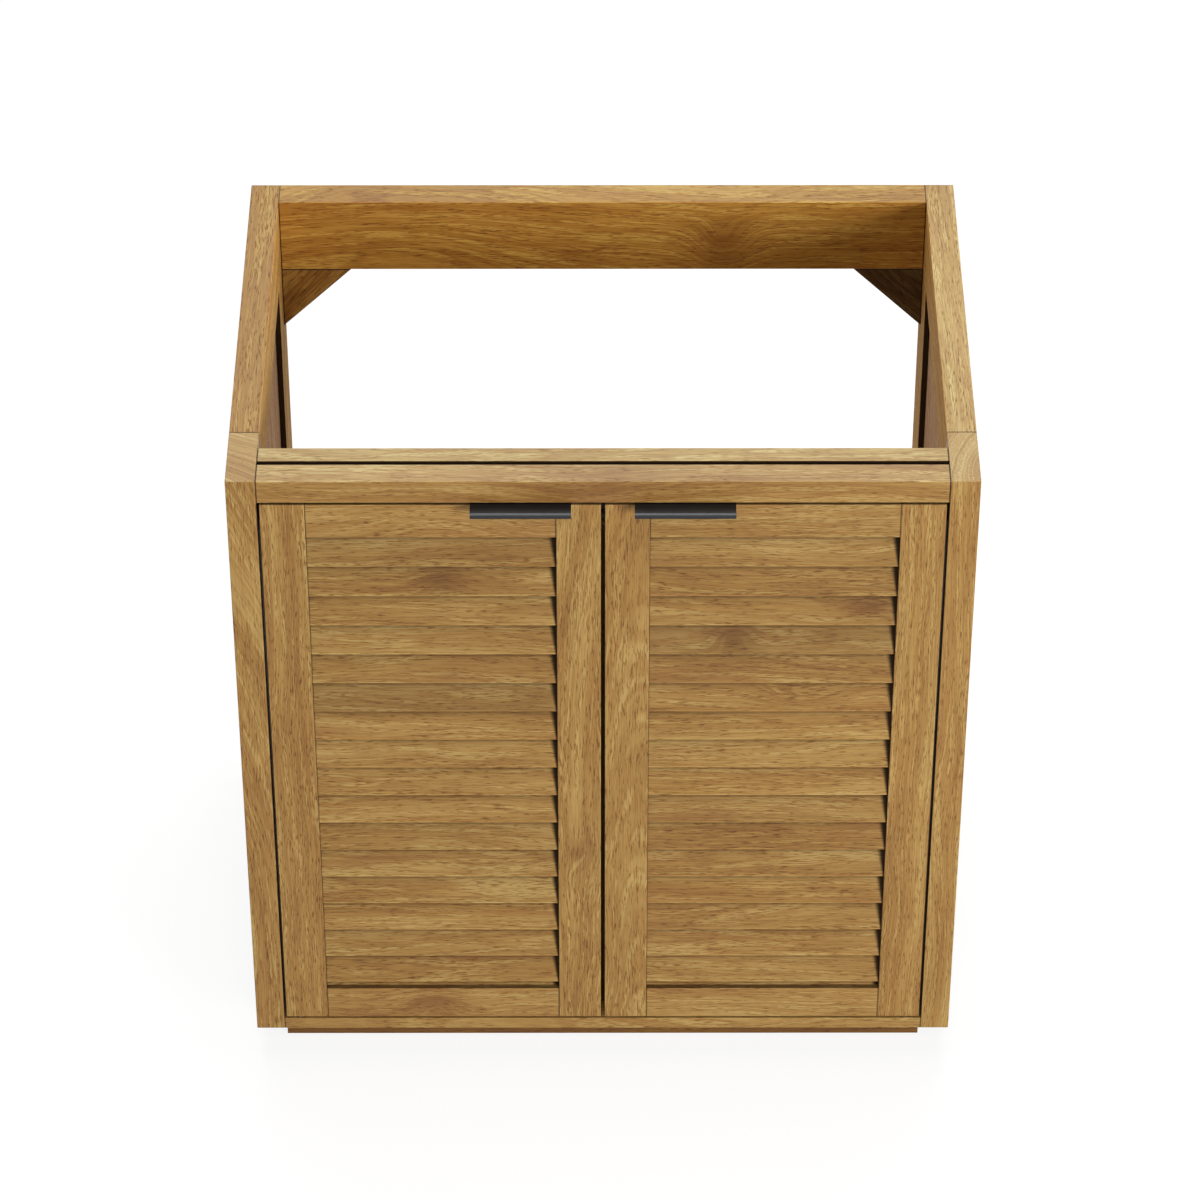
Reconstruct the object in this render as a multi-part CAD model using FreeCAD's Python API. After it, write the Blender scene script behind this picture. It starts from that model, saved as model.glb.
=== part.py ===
import FreeCAD, Part
import math
import os
from FreeCAD import Vector

# Vanity cabinet with two inset louvred doors, an open top for a basin and an open back for the plumbing.
# X runs to the right, Y to the back and Z up. The origin is on the floor, under the middle of the cabinet
# with its pulls. The left-hand pieces are modelled, and the right-hand ones are their mirror images.

# Driving dimensions in millimetres: carcass
CARCASS_WIDTH = 600.0
CARCASS_DEPTH = 410.0
CARCASS_HEIGHT = 604.0
SIDE_THICKNESS = 24.0
POST_WIDTH = 64.0
SIDE_TOP_RAIL_HEIGHT = 64.0
SIDE_BOTTOM_RAIL_HEIGHT = 64.0
FRONT_RAIL_DEPTH = 22.3
FRONT_RAIL_HEIGHT = 21.4
STRETCHER_SLOT = 4.4
STRETCHER_THICKNESS = 17.0
STRETCHER_HEIGHT = 60.0
BACK_RAIL_THICKNESS = 26.0
BACK_RAIL_HEIGHT = 70.0
LOWER_BACK_RAIL_THICKNESS = 18.0
LOWER_BACK_RAIL_HEIGHT = 60.0
GUSSET_LEG = 60.0
GUSSET_THICKNESS = 20.0
CENTRE_POST_WIDTH = 24.0
BOTTOM_THICKNESS = 11.7
PLINTH_HEIGHT = 32.0
PLINTH_RECESS = 26.0
PLINTH_THICKNESS = 18.0
EDGE_EASE = 0.4

# Side panels, tongued into the frames
PANEL_SET_BACK = 5.0
PANEL_TONGUE = 8.0
PANEL_TONGUE_REACH = 8.0
PANEL_PLAY = 1.0

# Wood joints
WOOD_FIT = 0.1
TENON_THICKNESS = 8.0
TENON_LENGTH = 20.0
TENON_SHOULDER = 10.0
TENON_HAUNCH = 3.0
STUB_WALL = 1.0
STUB_SHOULDER = 5.0
BOTTOM_STUB_SHOULDER = 3.5
BOTTOM_STUB_STOP = 12.0
GUSSET_TONGUE = 7.0
GUSSET_TONGUE_INSET = 8.0
PLINTH_HOUSING = 3.0
CENTRE_POST_FOOT = 4.0

# Doors
DOOR_THICKNESS = 20.0
DOOR_MEETING_GAP = 3.2
STILE_WIDTH = 35.9
STILE_CORE = 3.0
DOOR_TOP_RAIL_HEIGHT = 33.5
DOOR_BOTTOM_RAIL_HEIGHT = 33.6
DOOR_TENON_THICKNESS = 7.0
DOOR_TENON_SHOULDER = 6.0
SLAT_PITCH = 30.77
SLAT_WIDTH = 37.0
SLAT_THICKNESS = 4.2
SLAT_TILT_DEGREES = 10.0
SLAT_SET_BACK = 0.8
SLAT_HOUSING_DEPTH = 7.0
SLAT_END_PLAY = 0.3
SLAT_EDGE_EASE = 0.4

# Door pivots
PIVOT_FROM_EDGE = 12.0
PIVOT_FROM_FACE = 6.0
PIN_RADIUS = 2.5
PIN_IN_STILE = 30.0
PIN_IN_BUSH = 6.0
BUSH_RADIUS = 4.0
BUSH_LENGTH = 8.0
BUSH_FLANGE_RADIUS = 5.5
BUSH_FLANGE_THICKNESS = 2.0
RUNNING_CLEARANCE = 0.05
SEAT_CLEARANCE = 0.05
SWING_CLEARANCE = 0.7
LIFT_CLEARANCE = 0.2

# Tab pulls
PULL_LENGTH = 80.6
PULL_FROM_MEETING_EDGE = 23.7
PULL_PROJECTION = 14.0
PULL_FLANGE = 16.0
PULL_SHEET = 1.4
PULL_INNER_BEND = 0.6
PULL_LIP_HEIGHT = 4.6
PULL_CLEARANCE = 0.6
PULL_SCREW_SPACING = 40.0
PULL_SCREW_SET_BACK = 9.0

# Screws and magnetic catch
SCREW_HEAD_RADIUS = 3.0
SCREW_SHANK_RADIUS = 1.6
SCREW_LENGTH = 14.0
CATCH_LENGTH = 70.0
CATCH_HEIGHT = 16.0
CATCH_LIFT = 6.0
CATCH_GAP = 0.4
MAGNET_LENGTH = 20.0
MAGNET_HEIGHT = 10.0
MAGNET_THICKNESS = 4.0
STRIKE_LENGTH = 24.0
STRIKE_HEIGHT = 14.0
STRIKE_THICKNESS = 1.2
STRIKE_TANG = 4.0
STRIKE_TANG_LENGTH = 6.0

# Main planes of the carcass
half_width = CARCASS_WIDTH / 2
inner_half = half_width - SIDE_THICKNESS
front = -(CARCASS_DEPTH - PULL_PROJECTION) / 2
back = front + CARCASS_DEPTH
bottom = PLINTH_HEIGHT
top = bottom + CARCASS_HEIGHT
floor_top = bottom + BOTTOM_THICKNESS
side_middle = -half_width + SIDE_THICKNESS / 2
post_back = front + POST_WIDTH
rear_post_front = back - POST_WIDTH
side_rail_underside = top - SIDE_TOP_RAIL_HEIGHT
lower_side_rail_top = bottom + SIDE_BOTTOM_RAIL_HEIGHT
front_rail_back = front + FRONT_RAIL_DEPTH
front_rail_underside = top - FRONT_RAIL_HEIGHT
back_rail_front = back - BACK_RAIL_THICKNESS
back_rail_underside = top - BACK_RAIL_HEIGHT
plinth_front_y = (front + PLINTH_RECESS, front + PLINTH_RECESS + PLINTH_THICKNESS)
plinth_back_y = (back - PLINTH_THICKNESS, back)
plinth_z = (0, bottom + PLINTH_HOUSING)

# The doors' gaps leave room for the pull's sheet, the bush's flange and the corners that swing past the post
door_top_gap = PULL_SHEET + PULL_CLEARANCE
door_bottom_gap = BUSH_FLANGE_THICKNESS + LIFT_CLEARANCE
door_side_gap = math.hypot(PIVOT_FROM_EDGE, PIVOT_FROM_FACE) - PIVOT_FROM_EDGE + SWING_CLEARANCE
door_top = front_rail_underside - door_top_gap
door_bottom = floor_top + door_bottom_gap
door_back = front + DOOR_THICKNESS
door_middle = front + DOOR_THICKNESS / 2
hinge_edge = -inner_half + door_side_gap
meeting_edge = -DOOR_MEETING_GAP / 2
outer_stile_inside = hinge_edge + STILE_WIDTH
inner_stile_inside = meeting_edge - STILE_WIDTH
inner_stile_middle = meeting_edge - STILE_WIDTH / 2
louvre_top = door_top - DOOR_TOP_RAIL_HEIGHT
louvre_bottom = door_bottom + DOOR_BOTTOM_RAIL_HEIGHT
door_tenon_length = STILE_WIDTH / 2 - STILE_CORE
pivot_x = hinge_edge + PIVOT_FROM_EDGE
pivot_y = front + PIVOT_FROM_FACE

# The stretcher stands behind the slot and behind the sweep of the door's back corner
door_sweep = pivot_y + math.hypot(PIVOT_FROM_EDGE, DOOR_THICKNESS - PIVOT_FROM_FACE)
stretcher_front = max(front_rail_back + STRETCHER_SLOT, door_sweep + SWING_CLEARANCE)
stretcher_back = stretcher_front + STRETCHER_THICKNESS
stretcher_underside = top - STRETCHER_HEIGHT
catch_front = door_back + CATCH_GAP
catch_middle = stretcher_underside + CATCH_LIFT + CATCH_HEIGHT / 2

ALONG_X = Vector(1, 0, 0)
ALONG_Y = Vector(0, 1, 0)
ALONG_Z = Vector(0, 0, 1)


def about(middle, size):
    """The span of a given size about its middle."""
    return (middle - size / 2, middle + size / 2)


def widened(span, amount):
    """A span made longer by the same amount at both ends, or shorter if the amount is negative."""
    return (span[0] - amount, span[1] + amount)


def block(x, y, z, grow=0.0):
    """A plain box over three spans, grown by a clearance on every side."""
    x, y, z = (widened(span, grow) for span in (x, y, z))
    return Part.makeBox(x[1] - x[0], y[1] - y[0], z[1] - z[0], Vector(x[0], y[0], z[0]))


def board(x, y, z):
    """A board over three spans, with all its edges eased."""
    plain = block(x, y, z)
    return plain.makeChamfer(EDGE_EASE, plain.Edges)


def mirrored(shape):
    """The right-hand twin of a left-hand piece."""
    return shape.mirror(Vector(0, 0, 0), ALONG_X)


def cut_out(shape, holes):
    """A piece without the holes that reach it."""
    reached = [hole for hole in holes if hole.BoundBox.intersect(shape.BoundBox)]
    return shape.cut(reached) if reached else shape


def screw(head, direction, grow=0.0):
    """A countersunk screw from the middle of its flat head, or its hole if it is grown by a clearance."""
    head_height = SCREW_HEAD_RADIUS - SCREW_SHANK_RADIUS
    cone = Part.makeCone(SCREW_HEAD_RADIUS + grow, SCREW_SHANK_RADIUS + grow, head_height, head, direction)
    shank = Part.makeCylinder(SCREW_SHANK_RADIUS + grow, SCREW_LENGTH + grow, head, direction)
    return cone.fuse(shank).removeSplitter()


# Side frames: the rails' tenons, the rear post's tenon and the panel that the grooves hold
tenon_x = about(side_middle, TENON_THICKNESS)
groove_shoulder = PANEL_TONGUE_REACH + PANEL_PLAY + TENON_HAUNCH
upper_tenon_z = (side_rail_underside + groove_shoulder, top - TENON_SHOULDER)
lower_tenon_z = (bottom + TENON_SHOULDER, lower_side_rail_top - groove_shoulder)
upper_front_tenon = (tenon_x, (post_back - TENON_LENGTH, post_back), upper_tenon_z)
lower_front_tenon = (tenon_x, (post_back - TENON_LENGTH, post_back), lower_tenon_z)
lower_rear_tenon = (tenon_x, (rear_post_front, rear_post_front + TENON_LENGTH), lower_tenon_z)
rear_post_tenon = (
    tenon_x,
    (rear_post_front + groove_shoulder, back - TENON_SHOULDER),
    (side_rail_underside, side_rail_underside + TENON_LENGTH),
)
side_x = (-half_width, -inner_half)
panel_opening_y = (post_back, rear_post_front)
panel_opening_z = (lower_side_rail_top, side_rail_underside)

# Cross boards: their spans, and their stub tenons, which end short of the side frames' own tenons
stub_x = (-inner_half - (SIDE_THICKNESS - TENON_THICKNESS) / 2 + STUB_WALL, -inner_half)
front_rail_section = ((front, front_rail_back), (front_rail_underside, top))
stretcher_section = ((stretcher_front, stretcher_back), (stretcher_underside, top))
back_rail_section = ((back_rail_front, back), (back_rail_underside, top))
lower_back_rail_section = (
    (back - LOWER_BACK_RAIL_THICKNESS, back),
    (floor_top, floor_top + LOWER_BACK_RAIL_HEIGHT),
)
bottom_section = ((front, back), (bottom, floor_top))
back_rail_housed_z = (max(back_rail_underside, side_rail_underside), top)


def stub_tenon(y, z):
    """The stub at the left end of a cross rail, with a shoulder all round it."""
    return (stub_x, widened(y, -STUB_SHOULDER), widened(z, -STUB_SHOULDER))


stub_tenons = {
    "front_top_rail": stub_tenon(*front_rail_section),
    "inner_front_stretcher": stub_tenon(*stretcher_section),
    "back_top_rail": stub_tenon(back_rail_section[0], back_rail_housed_z),
    "lower_back_rail": stub_tenon(*lower_back_rail_section),
    "bottom_board": (
        stub_x,
        widened(bottom_section[0], -BOTTOM_STUB_STOP),
        widened(bottom_section[1], -BOTTOM_STUB_SHOULDER),
    ),
}

# The left gusset's two tongues: one in the rear post and one in the back rail
stub_length = stub_x[1] - stub_x[0]
gusset_tongue_y = about(back_rail_front + GUSSET_THICKNESS / 2, GUSSET_TONGUE)
gusset_tongue_end = GUSSET_LEG - 2 * GUSSET_TONGUE_INSET
gusset_post_tongue = (
    stub_x,
    gusset_tongue_y,
    (back_rail_underside - gusset_tongue_end, back_rail_underside - GUSSET_TONGUE_INSET),
)
gusset_rail_tongue = (
    (-inner_half + GUSSET_TONGUE_INSET, -inner_half + gusset_tongue_end),
    gusset_tongue_y,
    (back_rail_underside, back_rail_underside + stub_length),
)

# The centre post's section, and its core, which runs on as a tenon into the stretcher and the bottom board
centre_post_section = (about(0, CENTRE_POST_WIDTH), (catch_front, stretcher_back))
centre_post_core = (
    widened(centre_post_section[0], -STUB_SHOULDER),
    widened(stretcher_section[0], -STUB_SHOULDER),
    (floor_top - CENTRE_POST_FOOT, stretcher_underside + stub_length),
)


def panel_tongue(play):
    """The flat tongue round the side panel, or the grooves that hold it if it is given play."""
    thickness_fit = WOOD_FIT if play else 0.0
    return block(
        widened(about(side_middle, PANEL_TONGUE), thickness_fit),
        widened(panel_opening_y, PANEL_TONGUE_REACH + play),
        widened(panel_opening_z, PANEL_TONGUE_REACH + play),
    )


def side_frame():
    """The left side frame: two posts, two rails and a panel that floats in their grooves."""
    holes = [panel_tongue(PANEL_PLAY), block(*gusset_post_tongue, grow=WOOD_FIT)]
    holes += [block(*stub, grow=WOOD_FIT) for stub in stub_tenons.values()]
    front_post = board(side_x, (front, post_back), (bottom, top))
    for tenon in (upper_front_tenon, lower_front_tenon):
        front_post = front_post.cut(block(*tenon, grow=WOOD_FIT))
    rear_post = board(side_x, (rear_post_front, back), (bottom, side_rail_underside))
    rear_post = rear_post.fuse(block(*rear_post_tenon)).cut(block(*lower_rear_tenon, grow=WOOD_FIT))
    top_rail = board(side_x, (post_back, back), (side_rail_underside, top))
    top_rail = top_rail.fuse(block(*upper_front_tenon)).cut(block(*rear_post_tenon, grow=WOOD_FIT))
    bottom_rail = board(side_x, panel_opening_y, (bottom, lower_side_rail_top))
    bottom_rail = bottom_rail.fuse([block(*lower_front_tenon), block(*lower_rear_tenon)])
    field = block(
        widened(side_x, -PANEL_SET_BACK),
        widened(panel_opening_y, -PANEL_PLAY),
        widened(panel_opening_z, -PANEL_PLAY),
    )
    return {
        "front_post": cut_out(front_post, holes),
        "rear_post": cut_out(rear_post, holes),
        "side_top_rail": cut_out(top_rail, holes),
        "side_bottom_rail": cut_out(bottom_rail, holes),
        "side_panel": field.fuse(panel_tongue(0.0)),
    }


def back_gusset():
    """The left triangular gusset in the corner of the rear post and the back rail."""
    corner = Vector(-inner_half, back_rail_front, back_rail_underside)
    along_rail = corner + ALONG_X * GUSSET_LEG
    down_post = corner - ALONG_Z * GUSSET_LEG
    outline = Part.makePolygon([corner, along_rail, down_post, corner])
    plate = Part.Face(outline).extrude(ALONG_Y * GUSSET_THICKNESS)
    plate = plate.makeChamfer(EDGE_EASE, plate.Edges)
    return plate.fuse([block(*gusset_post_tongue), block(*gusset_rail_tongue)])


def cross_board(name, section):
    """A board between the two side frames, with its stub tenon at each end."""
    stub = block(*stub_tenons[name])
    return board((-inner_half, inner_half), *section).fuse([stub, mirrored(stub)])


def centre_post():
    """The post behind the doors' meeting edges, which stops the doors and fills the gap from behind."""
    post = board(*centre_post_section, (floor_top, stretcher_underside))
    return post.fuse(block(*centre_post_core))


def bush_seats(mouth, direction):
    """The two holes that hold the left and the right bush, from their mouth inwards."""
    radius = BUSH_RADIUS + SEAT_CLEARANCE
    length = BUSH_LENGTH + SEAT_CLEARANCE
    seat = Part.makeCylinder(radius, length, Vector(pivot_x, pivot_y, mouth), direction)
    return [seat, mirrored(seat)]


def carcass_boards():
    """The boards that tie the two side frames together, the centre post and the plinth."""
    plinth_spans = {
        "plinth_front": ((-inner_half, inner_half), plinth_front_y, plinth_z),
        "plinth_back": ((-inner_half, inner_half), plinth_back_y, plinth_z),
        "plinth_left": (
            (-inner_half, -inner_half + PLINTH_THICKNESS),
            (plinth_front_y[1], plinth_back_y[0]),
            plinth_z,
        ),
        "plinth_right": (
            (inner_half - PLINTH_THICKNESS, inner_half),
            (plinth_front_y[1], plinth_back_y[0]),
            plinth_z,
        ),
    }
    front_rail = cross_board("front_top_rail", front_rail_section)
    stretcher = cross_board("inner_front_stretcher", stretcher_section)
    back_rail = cross_board("back_top_rail", back_rail_section)
    bottom_board = cross_board("bottom_board", bottom_section)
    catch_hole = screw(catch_screw_head(), ALONG_Y, SEAT_CLEARANCE)
    gusset_groove = block(*gusset_rail_tongue, grow=WOOD_FIT)
    post_mortises = block(*centre_post_core, grow=WOOD_FIT)
    plinth_housings = [block(*spans, grow=WOOD_FIT) for spans in plinth_spans.values()]
    pieces = {name: board(*spans) for name, spans in plinth_spans.items()}
    pieces.update({
        "front_top_rail": front_rail.cut(bush_seats(front_rail_underside, ALONG_Z)),
        "inner_front_stretcher": stretcher.cut([catch_hole, post_mortises]),
        "back_top_rail": back_rail.cut([gusset_groove, mirrored(gusset_groove)]),
        "lower_back_rail": cross_board("lower_back_rail", lower_back_rail_section),
        "left_back_gusset": back_gusset(),
        "right_back_gusset": mirrored(back_gusset()),
        "bottom_board": bottom_board.cut(bush_seats(floor_top, -ALONG_Z) + plinth_housings + [post_mortises]),
        "centre_post": centre_post(),
    })
    return pieces


def pivot_bush(base, direction, flange):
    """A bush from the mouth of its seat inwards, with a flange outside the mouth if one is asked for."""
    mouth = base - direction * flange
    bush = Part.makeCylinder(BUSH_RADIUS, BUSH_LENGTH, base, direction)
    if flange:
        bush = bush.fuse(Part.makeCylinder(BUSH_FLANGE_RADIUS, flange, mouth, direction)).removeSplitter()
    return bush.cut(Part.makeCylinder(PIN_RADIUS + RUNNING_CLEARANCE, BUSH_LENGTH + flange, mouth, direction))


def pivot_bushes():
    """The four bushes that the doors turn in: flush ones above, flanged ones that carry the doors below."""
    upper = pivot_bush(Vector(pivot_x, pivot_y, front_rail_underside), ALONG_Z, 0.0)
    lower = pivot_bush(Vector(pivot_x, pivot_y, floor_top), -ALONG_Z, BUSH_FLANGE_THICKNESS)
    return {
        "left_upper_bush": upper,
        "left_lower_bush": lower,
        "right_upper_bush": mirrored(upper),
        "right_lower_bush": mirrored(lower),
    }


def catch_screw_head():
    """Where the head of the catch's screw lies, on the face of its housing between the magnets."""
    return Vector(0, catch_front, catch_middle)


def magnetic_catch():
    """The double catch on the stretcher's face: a housing, a magnet behind each inner stile, and a screw."""
    housing = board(about(0, CATCH_LENGTH), (catch_front, stretcher_front), about(catch_middle, CATCH_HEIGHT))
    magnet_y = (catch_front, catch_front + MAGNET_THICKNESS)
    magnets = []
    for x in (inner_stile_middle, -inner_stile_middle):
        magnet = (about(x, MAGNET_LENGTH), magnet_y, about(catch_middle, MAGNET_HEIGHT))
        housing = housing.cut(block(*magnet, grow=SEAT_CLEARANCE))
        magnets.append(block(*magnet))
    return {
        "catch_housing": housing.cut(screw(catch_screw_head(), ALONG_Y, SEAT_CLEARANCE)),
        "catch_magnets": Part.Compound(magnets),
        "catch_screw": screw(catch_screw_head(), ALONG_Y),
    }


# Doors: the rails' tenons and the louvre slats
door_tenon_y = about(door_middle, DOOR_TENON_THICKNESS)
door_rail_spans = {
    "top_rail": (louvre_top, door_top),
    "bottom_rail": (door_bottom, louvre_bottom),
}


def door_tenons(rail_z):
    """The two tenons of a door rail, the first in the outer stile and the second in the inner one."""
    tenon_z = widened(rail_z, -DOOR_TENON_SHOULDER)
    in_outer = (outer_stile_inside - door_tenon_length, outer_stile_inside)
    in_inner = (inner_stile_inside, inner_stile_inside + door_tenon_length)
    return [(in_outer, door_tenon_y, tenon_z), (in_inner, door_tenon_y, tenon_z)]


def slat_levels():
    """The height of each slat's lower front edge, counted down from the top rail by the pitch."""
    count = math.ceil((louvre_top - louvre_bottom) / SLAT_PITCH)
    return [louvre_top - step * SLAT_PITCH for step in range(1, count + 1)]


def leaning_slat(x, level, grow=0.0):
    """A slat that leans back from its lower front edge and stops at the rails, or its housing if grown."""
    slat = block(x, (0, SLAT_THICKNESS), (0, SLAT_WIDTH), grow)
    if not grow:
        long_edges = [edge for edge in slat.Edges if abs(edge.tangentAt(edge.FirstParameter).x) > 0.5]
        slat = slat.makeChamfer(SLAT_EDGE_EASE, long_edges)
    slat.rotate(Vector(0, 0, 0), ALONG_X, -SLAT_TILT_DEGREES)
    slat.translate(Vector(0, front + SLAT_SET_BACK, level))
    between_rails = block(widened(x, grow), (front, door_back), (louvre_bottom, louvre_top))
    return slat.common(between_rails)


def pull_screw_heads():
    """Where the heads of a pull's two screws lie, flush with its flange."""
    pull_middle = meeting_edge - PULL_FROM_MEETING_EDGE - PULL_LENGTH / 2
    z = door_top + PULL_SHEET
    return [Vector(x, front + PULL_SCREW_SET_BACK, z) for x in about(pull_middle, PULL_SCREW_SPACING)]


def tab_pull():
    """A bent sheet that lies on the door's top edge, reaches out in front and turns down in a short lip."""
    x = meeting_edge - PULL_FROM_MEETING_EDGE - PULL_LENGTH
    outer_bend = PULL_INNER_BEND + PULL_SHEET
    flange_back = front + PULL_FLANGE
    lip_face = front - PULL_PROJECTION
    bend_y = lip_face + outer_bend
    upper = door_top + PULL_SHEET
    bend_z = upper - outer_bend
    lip_bottom = upper - PULL_LIP_HEIGHT
    slant = math.sqrt(0.5)

    def at(y, z):
        return Vector(x, y, z)

    def bend(start, radius, end):
        crown = at(bend_y - slant * radius, bend_z + slant * radius)
        return Part.Arc(start, crown, end).toShape()

    corners = {
        "flange_low": at(flange_back, door_top),
        "flange_high": at(flange_back, upper),
        "outer_start": at(bend_y, upper),
        "outer_end": at(lip_face, bend_z),
        "lip_front": at(lip_face, lip_bottom),
        "lip_back": at(lip_face + PULL_SHEET, lip_bottom),
        "inner_start": at(lip_face + PULL_SHEET, bend_z),
        "inner_end": at(bend_y, door_top),
    }
    outline = Part.Wire([
        Part.makeLine(corners["flange_low"], corners["flange_high"]),
        Part.makeLine(corners["flange_high"], corners["outer_start"]),
        bend(corners["outer_start"], outer_bend, corners["outer_end"]),
        Part.makeLine(corners["outer_end"], corners["lip_front"]),
        Part.makeLine(corners["lip_front"], corners["lip_back"]),
        Part.makeLine(corners["lip_back"], corners["inner_start"]),
        bend(corners["inner_start"], PULL_INNER_BEND, corners["inner_end"]),
        Part.makeLine(corners["inner_end"], corners["flange_low"]),
    ])
    sheet = Part.Face(outline).extrude(ALONG_X * PULL_LENGTH)
    return sheet.cut([screw(head, -ALONG_Z, SEAT_CLEARANCE) for head in pull_screw_heads()])


def door_pin(start, end, grow=0.0):
    """A pivot pin between two heights, or the hole that it is driven into if it is grown by a clearance."""
    foot = Vector(pivot_x, pivot_y, start - grow)
    return Part.makeCylinder(PIN_RADIUS + grow, end - start + 2 * grow, foot)


def strike_plate(grow=0.0):
    """The plate that the catch holds, with the tang that is driven into the stile, or its seat if grown."""
    plate_front = door_back - STRIKE_THICKNESS
    plate = block(
        about(inner_stile_middle, STRIKE_LENGTH),
        (plate_front, door_back),
        about(catch_middle, STRIKE_HEIGHT),
        grow,
    )
    tang = block(
        about(inner_stile_middle, STRIKE_TANG),
        (plate_front - STRIKE_TANG_LENGTH, plate_front),
        about(catch_middle, STRIKE_TANG),
        grow,
    )
    return plate.fuse(tang)


def louvred_door():
    """The left door: a tenoned frame, slats in slanted housings, pivot pins, a pull and a strike plate."""
    door_y = (front, door_back)
    door_z = (door_bottom, door_top)
    tenons = [tenon for rail_z in door_rail_spans.values() for tenon in door_tenons(rail_z)]
    outer_housing = (outer_stile_inside - SLAT_HOUSING_DEPTH, outer_stile_inside)
    inner_housing = (inner_stile_inside, inner_stile_inside + SLAT_HOUSING_DEPTH)
    mortises = [block(*tenon, grow=WOOD_FIT) for tenon in tenons]
    upper_pin = (door_top - PIN_IN_STILE, front_rail_underside + PIN_IN_BUSH)
    lower_pin = (floor_top - PIN_IN_BUSH, door_bottom + PIN_IN_STILE)

    pin_holes = [door_pin(*pin, SEAT_CLEARANCE) for pin in (upper_pin, lower_pin)]
    outer_stile = board((hinge_edge, outer_stile_inside), door_y, door_z)
    outer_stile = outer_stile.cut([leaning_slat(outer_housing, z, WOOD_FIT) for z in slat_levels()])
    outer_stile = outer_stile.cut(mortises + pin_holes)
    inner_stile = board((inner_stile_inside, meeting_edge), door_y, door_z)
    inner_stile = inner_stile.cut([leaning_slat(inner_housing, z, WOOD_FIT) for z in slat_levels()])
    inner_stile = inner_stile.cut(mortises + [strike_plate(SEAT_CLEARANCE)])

    rails = {}
    for name, rail_z in door_rail_spans.items():
        rail = board((outer_stile_inside, inner_stile_inside), door_y, rail_z)
        rails[name] = rail.fuse([block(*tenon) for tenon in door_tenons(rail_z)])
    pull_holes = [screw(head, -ALONG_Z, SEAT_CLEARANCE) for head in pull_screw_heads()]
    rails["top_rail"] = cut_out(rails["top_rail"], pull_holes)
    slat_x = widened((outer_stile_inside, inner_stile_inside), SLAT_HOUSING_DEPTH - SLAT_END_PLAY)
    return {
        "outer_stile": outer_stile,
        "inner_stile": cut_out(inner_stile, pull_holes),
        "door_top_rail": rails["top_rail"],
        "door_bottom_rail": rails["bottom_rail"],
        "louvre_slats": Part.Compound([leaning_slat(slat_x, z) for z in slat_levels()]),
        "pull": tab_pull(),
        "pull_screws": Part.Compound([screw(head, -ALONG_Z) for head in pull_screw_heads()]),
        "strike_plate": strike_plate(),
        "upper_pivot_pin": door_pin(*upper_pin),
        "lower_pivot_pin": door_pin(*lower_pin),
    }


def cabinet():
    """Every piece of the cabinet by name."""
    pieces = carcass_boards()
    pieces.update(pivot_bushes())
    pieces.update(magnetic_catch())
    for half in (side_frame(), louvred_door()):
        for name, shape in half.items():
            pieces["left_" + name] = shape
            pieces["right_" + name] = mirrored(shape)
    return pieces


os.makedirs("parts", exist_ok=True)
for name, shape in cabinet().items():
    shape.exportStep("parts/" + name + ".step")
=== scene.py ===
import math
from typing import NamedTuple

import bpy
import numpy as np
from bpy.props import FloatProperty, FloatVectorProperty, PointerProperty
from bpy.types import Operator, Panel, PropertyGroup
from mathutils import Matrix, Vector


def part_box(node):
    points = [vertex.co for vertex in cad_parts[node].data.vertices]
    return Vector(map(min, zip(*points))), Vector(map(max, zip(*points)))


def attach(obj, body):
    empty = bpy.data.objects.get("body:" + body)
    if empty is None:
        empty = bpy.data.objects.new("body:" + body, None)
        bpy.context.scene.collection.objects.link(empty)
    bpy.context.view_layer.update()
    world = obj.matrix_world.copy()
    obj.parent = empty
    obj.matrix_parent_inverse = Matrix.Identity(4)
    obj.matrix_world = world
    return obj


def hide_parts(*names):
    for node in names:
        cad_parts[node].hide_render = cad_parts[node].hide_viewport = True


bl_info = {
    "name": "Louvred Vanity Cabinet",
    "version": (1, 0, 0),
    "blender": (4, 5, 0),
    "location": "View3D > Sidebar > Cabinet",
    "description": "Finishes a louvred vanity cabinet around its CAD frame and sets it in a plain studio",
    "category": "Object",
}

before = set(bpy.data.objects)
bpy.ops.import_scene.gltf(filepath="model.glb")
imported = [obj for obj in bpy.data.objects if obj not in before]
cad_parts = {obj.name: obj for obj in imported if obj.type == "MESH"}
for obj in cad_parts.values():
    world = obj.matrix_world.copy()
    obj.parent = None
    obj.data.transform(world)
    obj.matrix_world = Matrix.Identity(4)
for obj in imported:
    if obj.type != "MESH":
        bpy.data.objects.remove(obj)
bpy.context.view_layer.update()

MILLIMETRES = 1000.0
SIDES = ("left", "right")
AXES = "xyz"
LOW, HIGH = 0, 1


def end_of(node, axis, end):
    """The low or high end of a node along an axis, in millimetres."""
    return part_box(node)[end][AXES.index(axis)] * MILLIMETRES


CABINET_FRONT = end_of("left_front_post", "y", LOW)
CABINET_TOP = end_of("left_front_post", "z", HIGH)


# What a user would change


def colour_property(name, description, default):
    return FloatVectorProperty(
        name=name, description=description, subtype="COLOR", min=0.0, max=1.0, default=default
    )


def length_property(name, description, least, default):
    return FloatProperty(name=name, description=description, unit="LENGTH", min=least, default=default)


def angle_property(name, description, degrees):
    return FloatProperty(name=name, description=description, subtype="ANGLE", default=math.radians(degrees))


def power_property(name, description, watts):
    return FloatProperty(name=name, description=description, unit="POWER", min=0.0, default=watts)


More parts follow.
